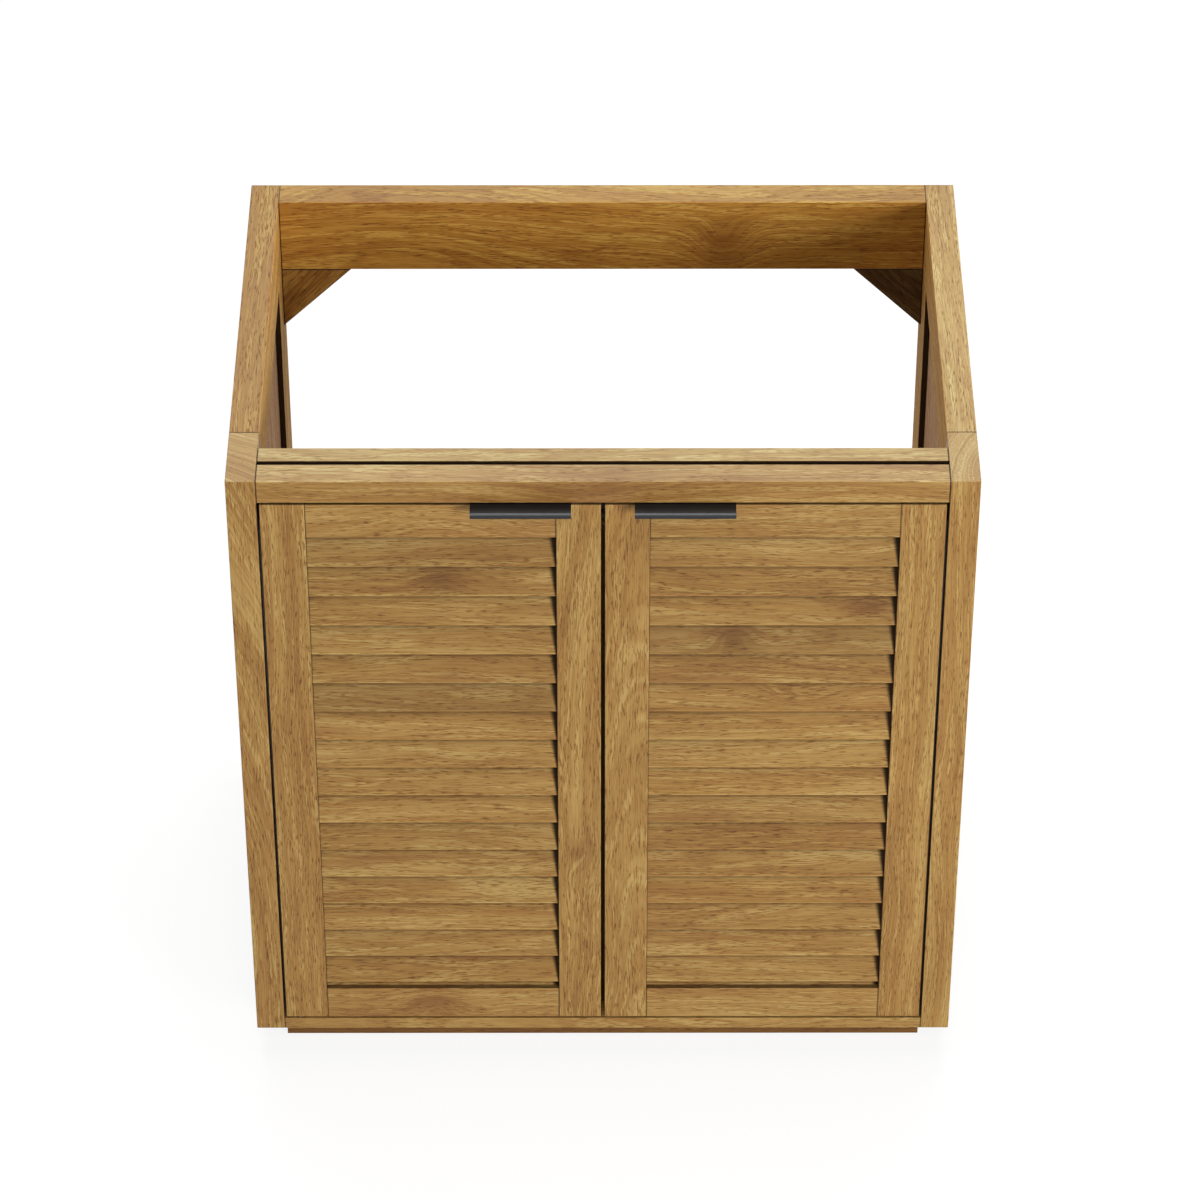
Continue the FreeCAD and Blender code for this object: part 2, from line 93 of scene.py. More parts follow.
class WoodLook(PropertyGroup):
    """Colours and grain of the oiled wood."""

    light_colour: colour_property("Light bands", "Pale growth bands", (0.480, 0.310, 0.100))
    body_colour: colour_property("Body", "The wood between its light and dark bands", (0.368, 0.202, 0.052))
    dark_colour: colour_property("Dark bands", "Brown growth bands", (0.268, 0.125, 0.028))
    warm_colour: colour_property(
        "Warm streaks", "Reddish streaks and the hearts of knots", (0.240, 0.098, 0.026)
    )
    pore_colour: colour_property("Pores", "Pores filled with oil", (0.150, 0.058, 0.015))
    band_width: length_property(
        "Band width", "Usual distance between growth bands", least=0.001, default=0.013
    )
    line_width: length_property(
        "Line width",
        "Usual distance between the fine lines of the growth rings",
        least=0.0005,
        default=0.0026,
    )
    pore_width: length_property(
        "Pore width", "Usual distance from one row of pores to the next", least=0.0001, default=0.0008
    )
    pore_length: length_property(
        "Pore length", "Usual length of a pore along the grain", least=0.001, default=0.0090
    )
    roughness: FloatProperty(
        name="Roughness",
        description="How matt the oiled surface is between its pores",
        subtype="FACTOR",
        min=0.0,
        max=1.0,
        default=0.50,
    )


class FittingLook(PropertyGroup):
    """Colours of the pulls and of the hidden fittings."""

    pull_colour: colour_property("Pull", "Powder coat of the tab pulls", (0.006, 0.008, 0.010))
    # Painted highlight on the pulls: the coat is paler along the bend and towards it, where light catches it
    bend_highlight_colour: colour_property(
        "Rubbed pull", "The powder coat where hands have rubbed it, along the bend", (0.088, 0.090, 0.093)
    )
    steel_colour: colour_property("Steel", "Pivot pins, strike plates and magnets", (0.56, 0.56, 0.57))
    screw_colour: colour_property("Screws", "Black zinc of the screws", (0.030, 0.030, 0.032))
    brass_colour: colour_property("Brass", "Turned bushes of the door pivots", (0.12, 0.08, 0.04))
    plastic_colour: colour_property("Catch", "Moulded housing of the magnetic catch", (0.05, 0.032, 0.018))


class ScrewSizes(PropertyGroup):
    """Sizes of the countersunk screws."""

    recess_radius: length_property(
        "Recess reach",
        "How far the arms of the cross recess reach from the middle",
        least=0.0,
        default=0.0019,
    )
    recess_width: length_property(
        "Recess width", "Half the width of an arm of the cross recess", least=0.0, default=0.00045
    )
    recess_depth: length_property(
        "Recess depth", "Depth of the cross recess in its middle", least=0.0, default=0.0011
    )
    thread_depth: length_property("Thread depth", "How deep the thread is cut", least=0.0, default=0.00045)
    thread_pitch: length_property(
        "Thread pitch", "Distance from one turn of the thread to the next", least=0.0001, default=0.0013
    )


class StageLook(PropertyGroup):
    """Camera, floor and studio light."""

    lens: FloatProperty(
        name="Lens",
        description="Focal length of the camera in millimetres",
        min=1.0,
        default=151.4,
    )
    camera_place: FloatVectorProperty(
        name="Camera",
        description="Where the camera stands",
        subtype="TRANSLATION",
        default=(-0.00498, -3.33972, 3.11273),
    )
    camera_pitch: angle_property("Camera pitch", "How far the camera looks down", 39.5923)
    camera_turn: angle_property("Camera turn", "How far the camera turns to the right", 0.0477)
    floor_radius: length_property("Floor radius", "Radius of the round floor", least=1.0, default=9.0)
    floor_colour: colour_property("Floor", "Pale floor, as it lights the cabinet", (0.40, 0.40, 0.40))
    key_power: power_property("Key light", "Power of the soft box in front, on the right", 212.0)
    edge_power: power_property(
        "Edge light",
        "Power of the small soft box above the camera, which shows on the edges of the pulls",
        16.0,
    )
    top_power: power_property("Top light", "Power of the wide soft box overhead", 67.0)
    back_power: power_property("Back light", "Power of the soft box behind, over the open top", 18.0)
    sky_strength: FloatProperty(
        name="Surround",
        description="Strength of the white surround on matt surfaces",
        min=0.0,
        default=0.16,
    )


# Shader maths as expressions


NOISE_MIDDLE = 0.5
SEED_SHIFT = (7.31, 3.17, 5.53)

# A Mix node counts the sockets of all its data types: these are the ones for colours
MIX_FACTOR, MIX_FIRST, MIX_SECOND = 0, 6, 7
MIX_RESULT = 2


def opaque(colour):
    return (*colour, 1.0)


class Wire:
    """A value on its way through a material: arithmetic on it adds Math nodes."""

    def __init__(self, shading, socket):
        self.shading = shading
        self.socket = socket

    def math(self, operation, *values):
        return self.shading.node("ShaderNodeMath", {"operation": operation}, dict(enumerate(values)))

    def __add__(self, other):
        return self.math("ADD", self, other)

    def __radd__(self, other):
        return self.math("ADD", other, self)

    def __sub__(self, other):
        return self.math("SUBTRACT", self, other)

    def __rsub__(self, other):
        return self.math("SUBTRACT", other, self)

    def __mul__(self, other):
        return self.math("MULTIPLY", self, other)

    def __rmul__(self, other):
        return self.math("MULTIPLY", other, self)

    def __truediv__(self, other):
        return self.math("DIVIDE", self, other)

    def __rtruediv__(self, other):
        return self.math("DIVIDE", other, self)

    def __pow__(self, other):
        return self.math("POWER", self, other)

    def __rpow__(self, other):
        return self.math("POWER", other, self)

    def floor(self):
        return self.math("FLOOR", self)

    def size(self):
        return self.math("ABSOLUTE", self)

    def swing(self):
        """How far a noise of 0 to 1 lies from its middle."""
        return self - NOISE_MIDDLE

    def at_most(self, limit):
        return self.math("MINIMUM", self, limit)

    def is_near(self, value, reach):
        """1 where the wire lies within a reach of a value, and 0 elsewhere."""
        return self.math("COMPARE", self, value, reach)


class Shading:
    """A node tree under construction, of a material or of the world."""

    def __init__(self, tree, material=None):
        self.tree = tree
        self.tree.nodes.clear()
        self.material = material

    @classmethod
    def of_material(cls, name):
        material = bpy.data.materials.new(name)
        material.use_nodes = True
        return cls(material.node_tree, material)

    def node(self, kind, settings=None, sockets=None, output=0):
        """Adds a node of a type, applies its settings and then fills its sockets with values or wires.

        Gives back the named or numbered output, or nothing for a node that ends the tree.
        """
        made = self.tree.nodes.new(kind)
        for name, value in (settings or {}).items():
            if name == "stops":
                self.fill_ramp(made.color_ramp, value)
            else:
                setattr(made, name, value)
        for key, value in (sockets or {}).items():
            if isinstance(value, Wire):
                self.tree.links.new(value.socket, made.inputs[key])
            else:
                made.inputs[key].default_value = value
        return Wire(self, made.outputs[output]) if made.outputs else None

    @staticmethod
    def fill_ramp(ramp, stops):
        while len(ramp.elements) < len(stops):
            ramp.elements.new(1.0)
        for element, (position, colour) in zip(ramp.elements, stops):
            element.position = position
            element.color = opaque(colour)

    def place(self):
        """Object coordinates, which are the cabinet's own frame in metres."""
        return self.node("ShaderNodeTexCoord", output="Object")

    def parts(self, vector):
        """The x, y and z of a vector by name."""
        return {axis: self.node("ShaderNodeSeparateXYZ", None, {0: vector}, axis.upper()) for axis in AXES}

    def vector(self, x, y, z):
        return self.node("ShaderNodeCombineXYZ", None, {0: x, 1: y, 2: z})

    def noise(self, place, stretch, seed, detail=2.0, roughness=0.5):
        """Noise of 0 to 1 on a place that is stretched axis by axis and shifted by a seed."""
        shift = tuple(seed * step for step in SEED_SHIFT)
        stretched = self.node(
            "ShaderNodeVectorMath", {"operation": "MULTIPLY_ADD"}, {0: place, 1: stretch, 2: shift}
        )
        return self.node(
            "ShaderNodeTexNoise",
            {"noise_dimensions": "3D"},
            {"Vector": stretched, "Scale": 1.0, "Detail": detail, "Roughness": roughness},
        )

    def step(self, value, low, high):
        """0 below a low value, 1 above a high one and smooth between them."""
        return self.node(
            "ShaderNodeMapRange",
            {"interpolation_type": "SMOOTHSTEP"},
            {"Value": value, "From Min": low, "From Max": high},
        )

    def mix(self, factor, first, second):
        """The first colour at a factor of 0 and the second at 1."""
        sockets = {MIX_FACTOR: factor, MIX_FIRST: first, MIX_SECOND: second}
        return self.node("ShaderNodeMix", {"data_type": "RGBA"}, sockets, MIX_RESULT)

    def stained(self, colour, stain_and_painted_light):
        return self.node("ShaderNodeVectorMath", {"operation": "MULTIPLY"}, {0: colour, 1: stain_and_painted_light})

    def brightened(self, colour, factor):
        return self.node("ShaderNodeVectorMath", {"operation": "SCALE"}, {0: colour, "Scale": factor})

    def bump(self, height, strength, distance):
        sockets = {"Height": height, "Strength": strength, "Distance": distance}
        return self.node("ShaderNodeBump", None, sockets)

    def surface(self, sockets):
        shader = self.node("ShaderNodeBsdfPrincipled", None, sockets)
        self.node("ShaderNodeOutputMaterial", None, {"Surface": shader})
        return self.material


def dress(node, material):
    """Gives a CAD node one material for all its faces."""
    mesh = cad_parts[node].data
    mesh.materials.clear()
    mesh.materials.append(material)


def put_in_scene(name, data):
    """A new object with a mesh, a light or a camera."""
    made = bpy.data.objects.new(name, data)
    bpy.context.scene.collection.objects.link(made)
    return made


def full_turn(columns):
    """Angles once round, as a row."""
    return np.linspace(0.0, math.tau, columns, endpoint=False)[None, :]


def ring_quads(index):
    """The quads between neighbouring rows of vertex numbers, where each row is a closed ring."""
    after = np.roll(index, -1, axis=1)
    quads = np.stack([index[:-1], index[1:], after[1:], after[:-1]], axis=-1)
    return quads.reshape(-1, 4).tolist()


# Wood


class Knot(NamedTuple):
    """A swirl in a board, in millimetres from the middle of its face."""

    along: float
    across: float
    length: float
    width: float
    push: float
    darkness: float


class Figure(NamedTuple):
    """How a board was sawn from its log, in millimetres from the board's middle.

    The colour multiplier is the board's staining, and on the plinth it is painted shade. The top sheen tint
    takes
    its place on the cabinet's level top as painted sheen, and the inside light and shade on the named inside
    faces:
    painted sheen on the side panels, side rails and rear posts and painted shade on the gussets. The seams
    are an axis and a place on it, in the cabinet's frame, where the board meets a board that it joins. The
    gaps are the faces that look into a narrow gap, by their direction, each with the darkness of its painted
    shade; they reach back from the front and up from a low height.
    """

    axes: str
    seed: float
    heart: float = 30.0
    depth: float = 45.0
    rise: float = 0.04
    turn: float = 0.0
    tone: float = 1.0
    warmth: float = 0.3
    pores: float = 1.0
    lines: float = 1.0
    stain_and_painted_light: tuple = (1.0, 1.0, 1.0)
    top_sheen_tint: tuple = ()
    knots: tuple = ()
    seams: tuple = ()
    seam_darkness: float = 0.65
    gaps: tuple = ()
    gap_reach: float = 42.0
    gap_low: float = -1.0
    inside: tuple = ()
    inside_light_and_shade: tuple = (1.7, 1.7, 1.45)


class Grain(NamedTuple):
    """Wires for a point on a board.

    They hold millimetres along the grain, across the face and through the board, and masks for its seams,
    the painted highlight on its eased edge, the painted shade on its faces in gaps and on the slats, its
    inside faces and the cabinet's top.
    """

    along: object
    across: object
    through: object
    seams: object
    edges: object
    corners: object
    inside: object = 0.0
    top: object = 0.0


UPRIGHT_FRONT = "zxy"
UPRIGHT_SIDE = "zyx"
LEVEL_FRONT = "xzy"
LEVEL_TOP = "xyz"
LEVEL_SIDE = "yzx"
FLAT_SIDE = "yxz"
LEFT_POST_SEAM = ("x", end_of("left_front_post", "x", HIGH))
RIGHT_POST_SEAM = ("x", end_of("right_front_post", "x", LOW))
BACK_RAIL_SEAM = ("z", end_of("back_top_rail", "z", LOW))
CROSS_SEAMS = (LEFT_POST_SEAM, RIGHT_POST_SEAM)
LEFT_RAIL_SEAMS = (
    ("x", end_of("left_outer_stile", "x", HIGH)),
    ("x", end_of("left_inner_stile", "x", LOW)),
)
RIGHT_RAIL_SEAMS = (
    ("x", end_of("right_inner_stile", "x", HIGH)),
    ("x", end_of("right_outer_stile", "x", LOW)),
)
SIDE_RAIL_SEAMS = (("y", end_of("left_front_post", "y", HIGH)),)
LEFT_GUSSET_SEAMS = (LEFT_POST_SEAM, BACK_RAIL_SEAM)
RIGHT_GUSSET_SEAMS = (RIGHT_POST_SEAM, BACK_RAIL_SEAM)
JOINT_DARKNESS = 0.92
# Darkness of the painted shade on faces that look into each kind of gap
DEEP_GAP = 0.94
RAIL_UNDERSIDE_GAP = 0.90
POST_GAP = 0.85
CENTRE_POST_GAP = 0.72
STILE_GAP = 0.65
RAIL_GAP = 0.60
# Painted sheen: paler, greyer inside faces of the side panels, where light glances off them
PANEL_INSIDE_SHEEN = (1.70, 1.80, 3.0)
# Painted shade: the plinth, under the bottom board's overhang, darkened all round
PLINTH_SHADE = (0.47, 0.36, 0.13)
# Painted sheen: paler, greyer level tops, as if lit from above
TOP_SHEEN = (1.10, 1.30, 1.80)

CARCASS_FIGURES = {
    "left_front_post": Figure(
        UPRIGHT_FRONT, 1.0, heart=-100.0, depth=110.0, rise=0.30, lines=1.2, gaps=(("+x", POST_GAP),),
        top_sheen_tint=TOP_SHEEN,
    ),
    "right_front_post": Figure(
        UPRIGHT_FRONT, 2.0, heart=90.0, depth=30.0, rise=0.02, gaps=(("-x", POST_GAP),), top_sheen_tint=TOP_SHEEN
    ),
    # Painted shade on the rear posts' step in front of the recessed side panels
    "left_rear_post": Figure(
        UPRIGHT_SIDE, 3.0, gaps=(("-y", DEEP_GAP),), gap_reach=400.0, inside=("+x",)
    ),
    "right_rear_post": Figure(
        UPRIGHT_SIDE, 4.0, heart=-40.0, gaps=(("-y", DEEP_GAP),), gap_reach=400.0, inside=("-x",)
    ),
    "left_side_top_rail": Figure(
        FLAT_SIDE, 5.0, heart=50.0, rise=0.02, top_sheen_tint=(0.93, 0.97, 0.92), seams=SIDE_RAIL_SEAMS,
        inside=("+x",),
    ),
    "right_side_top_rail": Figure(
        FLAT_SIDE, 6.0, heart=-50.0, rise=0.03, top_sheen_tint=(1.15, 1.36, 1.75), seams=SIDE_RAIL_SEAMS,
        inside=("-x",),
    ),
    "left_side_bottom_rail": Figure(LEVEL_SIDE, 7.0),
    "right_side_bottom_rail": Figure(LEVEL_SIDE, 8.0),
    "left_side_panel": Figure(
        UPRIGHT_SIDE, 9.0, heart=20.0, depth=45.0, rise=0.06, inside=("+x",), inside_light_and_shade=PANEL_INSIDE_SHEEN
    ),
    "right_side_panel": Figure(
        UPRIGHT_SIDE, 10.0, heart=-30.0, depth=45.0, rise=-0.06, inside=("-x",), inside_light_and_shade=PANEL_INSIDE_SHEEN
    ),
    "front_top_rail": Figure(
        LEVEL_FRONT, 11.0, heart=-20.0, depth=30.0, rise=0.03, pores=0.75, top_sheen_tint=TOP_SHEEN,
        seams=CROSS_SEAMS, seam_darkness=JOINT_DARKNESS,
        gaps=(("+y", DEEP_GAP), ("-z", RAIL_UNDERSIDE_GAP)),
        knots=(Knot(-9.7, 2.0, 70.0, 14.0, 10.0, 0.55),),
    ),
    # Painted shade on the stretcher's upper front, in the slot behind the front rail
    "inner_front_stretcher": Figure(
        LEVEL_TOP, 12.0, heart=40.0, rise=0.02, pores=0.75, top_sheen_tint=(1.15, 1.45, 2.10),
        seams=CROSS_SEAMS, seam_darkness=JOINT_DARKNESS, gaps=(("-y", DEEP_GAP),), gap_low=614.0,
    ),
    "back_top_rail": Figure(
        LEVEL_FRONT, 13.0, heart=-45.0, depth=35.0, rise=0.02, lines=1.3, stain_and_painted_light=(1.27, 1.11, 0.68),
        top_sheen_tint=(0.97, 0.98, 0.80), seams=CROSS_SEAMS, seam_darkness=JOINT_DARKNESS,
        knots=(
            Knot(102.9, -8.0, 26.0, 26.0, 26.0, 0.75),
            Knot(-190.0, 0.0, 130.0, 40.0, -24.0, 0.0),
        ),
    ),
    "lower_back_rail": Figure(LEVEL_FRONT, 14.0, seams=CROSS_SEAMS),
    # Painted shade on the gussets' front faces, far darker on the right one, where a shadow falls
    "left_back_gusset": Figure(
        LEVEL_FRONT, 15.0, turn=45.0, lines=2.0, seams=LEFT_GUSSET_SEAMS, seam_darkness=JOINT_DARKNESS,
        inside=("-y",), inside_light_and_shade=(0.83, 0.70, 0.45),
    ),
    "right_back_gusset": Figure(
        LEVEL_FRONT, 16.0, turn=-45.0, lines=2.0, seams=RIGHT_GUSSET_SEAMS, seam_darkness=JOINT_DARKNESS,
        inside=("-y",), inside_light_and_shade=(0.26, 0.25, 0.21),
    ),
    "bottom_board": Figure(LEVEL_TOP, 17.0, heart=80.0, seams=CROSS_SEAMS),
    # Painted shade on the centre post's front, behind the gap between the doors
    "centre_post": Figure(UPRIGHT_FRONT, 22.0, gaps=(("-y", CENTRE_POST_GAP),)),
    "plinth_front": Figure(LEVEL_FRONT, 18.0, stain_and_painted_light=PLINTH_SHADE),
    "plinth_back": Figure(LEVEL_FRONT, 19.0, stain_and_painted_light=PLINTH_SHADE),
    "plinth_left": Figure(LEVEL_SIDE, 20.0, stain_and_painted_light=PLINTH_SHADE),
    "plinth_right": Figure(LEVEL_SIDE, 21.0, stain_and_painted_light=PLINTH_SHADE),
}
# Painted shade on the door faces that look into gaps, darkest on the hinge sides
RAIL_GAPS = (("-z", RAIL_GAP), ("+z", RAIL_GAP))
STILE_GAPS = (("-x", STILE_GAP), ("+x", STILE_GAP), *RAIL_GAPS)
LEFT_HINGE_GAPS = (("-x", DEEP_GAP), ("+x", STILE_GAP), *RAIL_GAPS)
RIGHT_HINGE_GAPS = (("-x", STILE_GAP), ("+x", DEEP_GAP), *RAIL_GAPS)
DOOR_FIGURES = {
    "left_outer_stile": Figure(
        UPRIGHT_FRONT, 31.0, heart=90.0, depth=20.0, rise=0.01, pores=1.15, gaps=LEFT_HINGE_GAPS
    ),
    "left_inner_stile": Figure(
        UPRIGHT_FRONT, 32.0, heart=60.0, depth=40.0, rise=0.12, gaps=STILE_GAPS,
        knots=(Knot(-88.7, 1.0, 22.0, 9.0, 9.0, 0.50),),
    ),
    "left_door_top_rail": Figure(
        LEVEL_FRONT, 33.0, heart=-40.0, depth=25.0, rise=0.01, seams=LEFT_RAIL_SEAMS, gaps=RAIL_GAPS,
        knots=(Knot(5.0, -4.0, 55.0, 30.0, -16.0, 0.0),),
    ),
    "left_door_bottom_rail": Figure(
        LEVEL_FRONT, 34.0, heart=40.0, rise=0.03, seams=LEFT_RAIL_SEAMS, gaps=RAIL_GAPS,
        knots=(Knot(-6.0, 0.0, 22.0, 16.0, 14.0, 0.45),),
    ),
    "right_outer_stile": Figure(
        UPRIGHT_FRONT, 35.0, heart=90.0, depth=25.0, rise=0.015, gaps=RIGHT_HINGE_GAPS
    ),
    "right_inner_stile": Figure(
        UPRIGHT_FRONT, 36.0, heart=10.5, depth=45.0, rise=0.063, gaps=STILE_GAPS
    ),
    "right_door_top_rail": Figure(
        LEVEL_FRONT, 37.0, heart=35.0, rise=0.02, tone=0.93, seams=RIGHT_RAIL_SEAMS, gaps=RAIL_GAPS
    ),
    "right_door_bottom_rail": Figure(
        LEVEL_FRONT, 38.0, heart=-40.0, rise=0.03, seams=RIGHT_RAIL_SEAMS, gaps=RAIL_GAPS
    ),
}
SIGNS = {"+": 1.0, "-": -1.0}
SEAM_WIDTH = 1.2
EASED_EDGE = 0.6
EASED_EDGE_FADE = 0.4
FACE_SKIN = 0.25
GAP_FADE = 1.0


def named_faces(shading, centred, half, faces):
    """The weights of a board's faces, which are named by their direction, and 0 elsewhere."""
    weights = 0.0
    for (sign, axis), weight in faces:
        outward = centred[axis] * SIGNS[sign]
        face = shading.step(outward, half[axis] - FACE_SKIN, half[axis] - FACE_SKIN / 2)
        weights = weights + face * weight
    return weights


def board_grain(shading, node, figure):
    """The grain of a board, counted from the middle of its box."""
    low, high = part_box(node)
    middle = dict(zip(AXES, (low + high) * (MILLIMETRES / 2)))
    half = dict(zip(AXES, (high - low) * (MILLIMETRES / 2)))
    place = shading.parts(shading.place())
    here = {axis: place[axis] * MILLIMETRES for axis in AXES}
    centred = {axis: here[axis] - middle[axis] for axis in AXES}
    along, across, through = (centred[axis] for axis in figure.axes)
    seams = 0.0
    for axis, where in figure.seams:
        seams = seams + shading.step((here[axis] - where).size(), SEAM_WIDTH, SEAM_WIDTH / 2)
    # Painted highlight along the eased edge lines of the face
    edges = 1.0
    for axis in figure.axes[1:]:
        edge = half[axis] - EASED_EDGE
        edges = edges * shading.step(centred[axis].size(), edge, edge + EASED_EDGE_FADE)
    # Painted shade on the faces that look into a gap, as far as the gap reaches
    reach = CABINET_FRONT + figure.gap_reach
    in_gap = shading.step(here["y"], reach, reach - GAP_FADE)
    in_gap = in_gap * shading.step(here["z"], figure.gap_low - GAP_FADE, figure.gap_low)
    corners = named_faces(shading, centred, half, figure.gaps) * in_gap
    # Inside faces: painted sheen on panels, side rails and rear posts, painted shade on the gussets
    inside = named_faces(shading, centred, half, [(face, 1.0) for face in figure.inside])
    # The cabinet's level top, which gets painted sheen
    top = shading.step(here["z"], CABINET_TOP - FACE_SKIN, CABINET_TOP - FACE_SKIN / 2)
    turn = math.radians(figure.turn)
    if turn:
        turned_along = along * math.cos(turn) + across * math.sin(turn)
        across = across * math.cos(turn) - along * math.sin(turn)
        along = turned_along
    return Grain(along, across, through, seams, edges, corners, inside, top)


def knot_swell(along, across, knot):
    """exp(-(a/length)^2 - (c/width)^2), with a and c counted from the middle of the knot."""
    a = (along - knot.along) / knot.length
    c = (across - knot.across) / knot.width
    return math.e ** (0.0 - a * a - c * c)


# Noise in the wood, in repeats per millimetre along the grain, across it and through the board
SWAY_STRETCH = (0.004, 0.013, 0.013)
RIPPLE_STRETCH = (0.06, 0.09, 0.09)
FIBRE_STRETCH = (0.022, 1.40, 1.40)
MOTTLE_STRETCH = (0.006, 0.04, 0.04)
BAND_DRIFT = 0.003
LINE_DRIFT = 0.012
LINE_SEED_STEP = 0.5
FIBRE_ROUGHNESS = 0.6
GRAIN_SWAY = 24.0
GRAIN_RIPPLE = 0.6

# From where to where in its noise each pattern shows
LINE_RANGE = (0.25, 0.75)
HAIR_RANGE = (0.11, 0.02)
FIBRE_RANGE = (0.30, 0.70)
PORE_RANGE = (0.57, 0.69)
PORES_ON_LINES = 0.16
WARM_RANGE = (0.50, 0.75)

# How far each pattern moves the tint, which picks the colour from the stops of a ramp
BODY_TINT = 0.50
TINT_STOPS = (0.02, 0.28, BODY_TINT, 0.72)
BAND_TINT = 0.66
LINE_TINT = 0.16
FIBRE_TINT = 0.14
SPECK_TINT = 0.20
PORE_TINT = 0.26
HAIR_TINT = 0.14
KNOT_TINT = 0.30
USUAL_PORES = 0.11
USUAL_HAIRS = 0.3
KNOT_WARMTH = 0.35

# Brightness, painted highlight and shade, roughness and relief
WOOD_BRIGHTNESS = 1.03
FIBRE_SHADE = 0.12
MOTTLE_SHADE = 0.25
PORE_SHADE = 0.12
KNOT_SHADE = 0.25
# Painted highlight on the eased edges
PAINTED_EDGE_HIGHLIGHT = 0.22
# Painted shade, near black, in gaps and on the shaded parts of the slats
PAINTED_SHADE_COLOUR = (0.010, 0.004, 0.001)
CORNER_ROUGHNESS = 0.5
INSIDE_ROUGHNESS = 0.3
PORE_ROUGHNESS = 0.20
FIBRE_SHEEN = 0.10
FIBRE_RELIEF = 0.5
RELIEF_STRENGTH = 0.25
RELIEF_HEIGHT = 0.0002
WOOD_SPECULAR = 0.90
WOOD_SPECULAR_TINT = (0.34, 0.33, 0.34)


def wood_material(shading, look, figure, board, shift=0.0):
    """Oiled wood on a board's own grain.

    The growth bands and lines are noise on the distance from the log's heart, which runs askew to the board,
    so they close in arches on its face, and a hairline runs where the noise of the lines crosses its middle.
    Fibres and pores are noise that is drawn out along the grain, which sways and ripples. A shift moves all
    this noise along the grain.
    """
    seed = figure.seed
    along, across, through = board.along, board.across, board.through
    moved = along + shift
    place = shading.vector(moved, across, through)
    sway = shading.noise(place, SWAY_STRETCH, seed)
    ripple = shading.noise(place, RIPPLE_STRETCH, seed, detail=1.0)
    across = across + sway.swing() * GRAIN_SWAY + ripple.swing() * GRAIN_RIPPLE
    depth = through + figure.depth + along * figure.rise
    offset = across - figure.heart
    ring = (offset * offset + depth * depth) ** 0.5
    knots = 0.0
    for knot in figure.knots:
        swell = knot_swell(along, across, knot)
        ring = ring + swell * knot.push
        knots = knots + swell * knot.darkness
    grain = shading.vector(moved, across, through)
    rings = shading.vector(ring, moved, through)
    per_band = 1.0 / (look.band_width * MILLIMETRES)
    per_line = 1.0 / (look.line_width * MILLIMETRES)
    per_pore = 1.0 / (look.pore_width * MILLIMETRES)
    per_length = 1.0 / (look.pore_length * MILLIMETRES)
    bands = shading.noise(rings, (per_band, BAND_DRIFT, 0.0), seed)
    ringlets = shading.noise(rings, (per_line, LINE_DRIFT, 0.0), seed + LINE_SEED_STEP, detail=1.0)
    lines = shading.step(ringlets, *LINE_RANGE)
    hairs = shading.step(ringlets.swing().size(), *HAIR_RANGE) * figure.lines
    fibre = shading.step(shading.noise(grain, FIBRE_STRETCH, seed, roughness=FIBRE_ROUGHNESS), *FIBRE_RANGE)
    mottle = shading.noise(grain, MOTTLE_STRETCH, seed)
    speck = shading.noise(grain, (per_length, per_pore, per_pore), seed, detail=1.0)
    pores = shading.step(speck + lines.swing() * PORES_ON_LINES, *PORE_RANGE) * figure.pores

    growth = bands.swing() * BAND_TINT + lines.swing() * (LINE_TINT * figure.lines)
    fine = fibre.swing() * FIBRE_TINT - speck.swing() * (SPECK_TINT * figure.pores)
    fine = fine - (pores - USUAL_PORES) * PORE_TINT - (hairs - USUAL_HAIRS) * HAIR_TINT
    tint = BODY_TINT + growth + fine - knots * KNOT_TINT
    tones = (look.pore_colour, look.dark_colour, look.body_colour, look.light_colour)
    stops = tuple(zip(TINT_STOPS, tones))
    colour = shading.node("ShaderNodeValToRGB", {"stops": stops}, {"Fac": tint})
    warm = shading.step(mottle, *WARM_RANGE) * figure.warmth + knots * KNOT_WARMTH
    colour = shading.mix(warm, colour, opaque(look.warm_colour))
    # Staining, with painted shade on the plinth, painted sheen on the cabinet's top and painted sheen and
    # shade on the inside faces
    stain_and_painted_light = shading.mix(board.top, opaque(figure.stain_and_painted_light), opaque(figure.top_sheen_tint or figure.stain_and_painted_light))
    stain_and_painted_light = shading.mix(board.inside, stain_and_painted_light, opaque(figure.inside_light_and_shade))
    colour = shading.stained(colour, stain_and_painted_light)
    marks = (1.0 - pores * PORE_SHADE) * (1.0 - knots * KNOT_SHADE)
    worn = marks * (WOOD_BRIGHTNESS + fibre.swing() * FIBRE_SHADE + mottle.swing() * MOTTLE_SHADE)
    # Dark joints along the seams and a painted highlight along the eased edge
    made = (1.0 - board.seams * figure.seam_darkness) * (1.0 + board.edges * PAINTED_EDGE_HIGHLIGHT)
    colour = shading.brightened(colour, worn * made * figure.tone)
    # Painted shade towards near black in gaps and where the stile and the slat above shade a slat
    colour = shading.mix(board.corners, colour, opaque(PAINTED_SHADE_COLOUR))
    matt = board.corners * CORNER_ROUGHNESS + board.inside * INSIDE_ROUGHNESS
    return shading.surface({
        "Base Color": colour,
        "Roughness": look.roughness + pores * PORE_ROUGHNESS + fibre.swing() * FIBRE_SHEEN + matt,
        "Normal": shading.bump(fibre * FIBRE_RELIEF - pores, RELIEF_STRENGTH, RELIEF_HEIGHT),
        "Specular IOR Level": WOOD_SPECULAR,
        "Specular Tint": opaque(WOOD_SPECULAR_TINT),
    })


def finish_boards(figures):
    look = bpy.context.scene.cabinet_wood
    for node, figure in figures.items():
        shading = Shading.of_material(node)
        dress(node, wood_material(shading, look, figure, board_grain(shading, node, figure)))


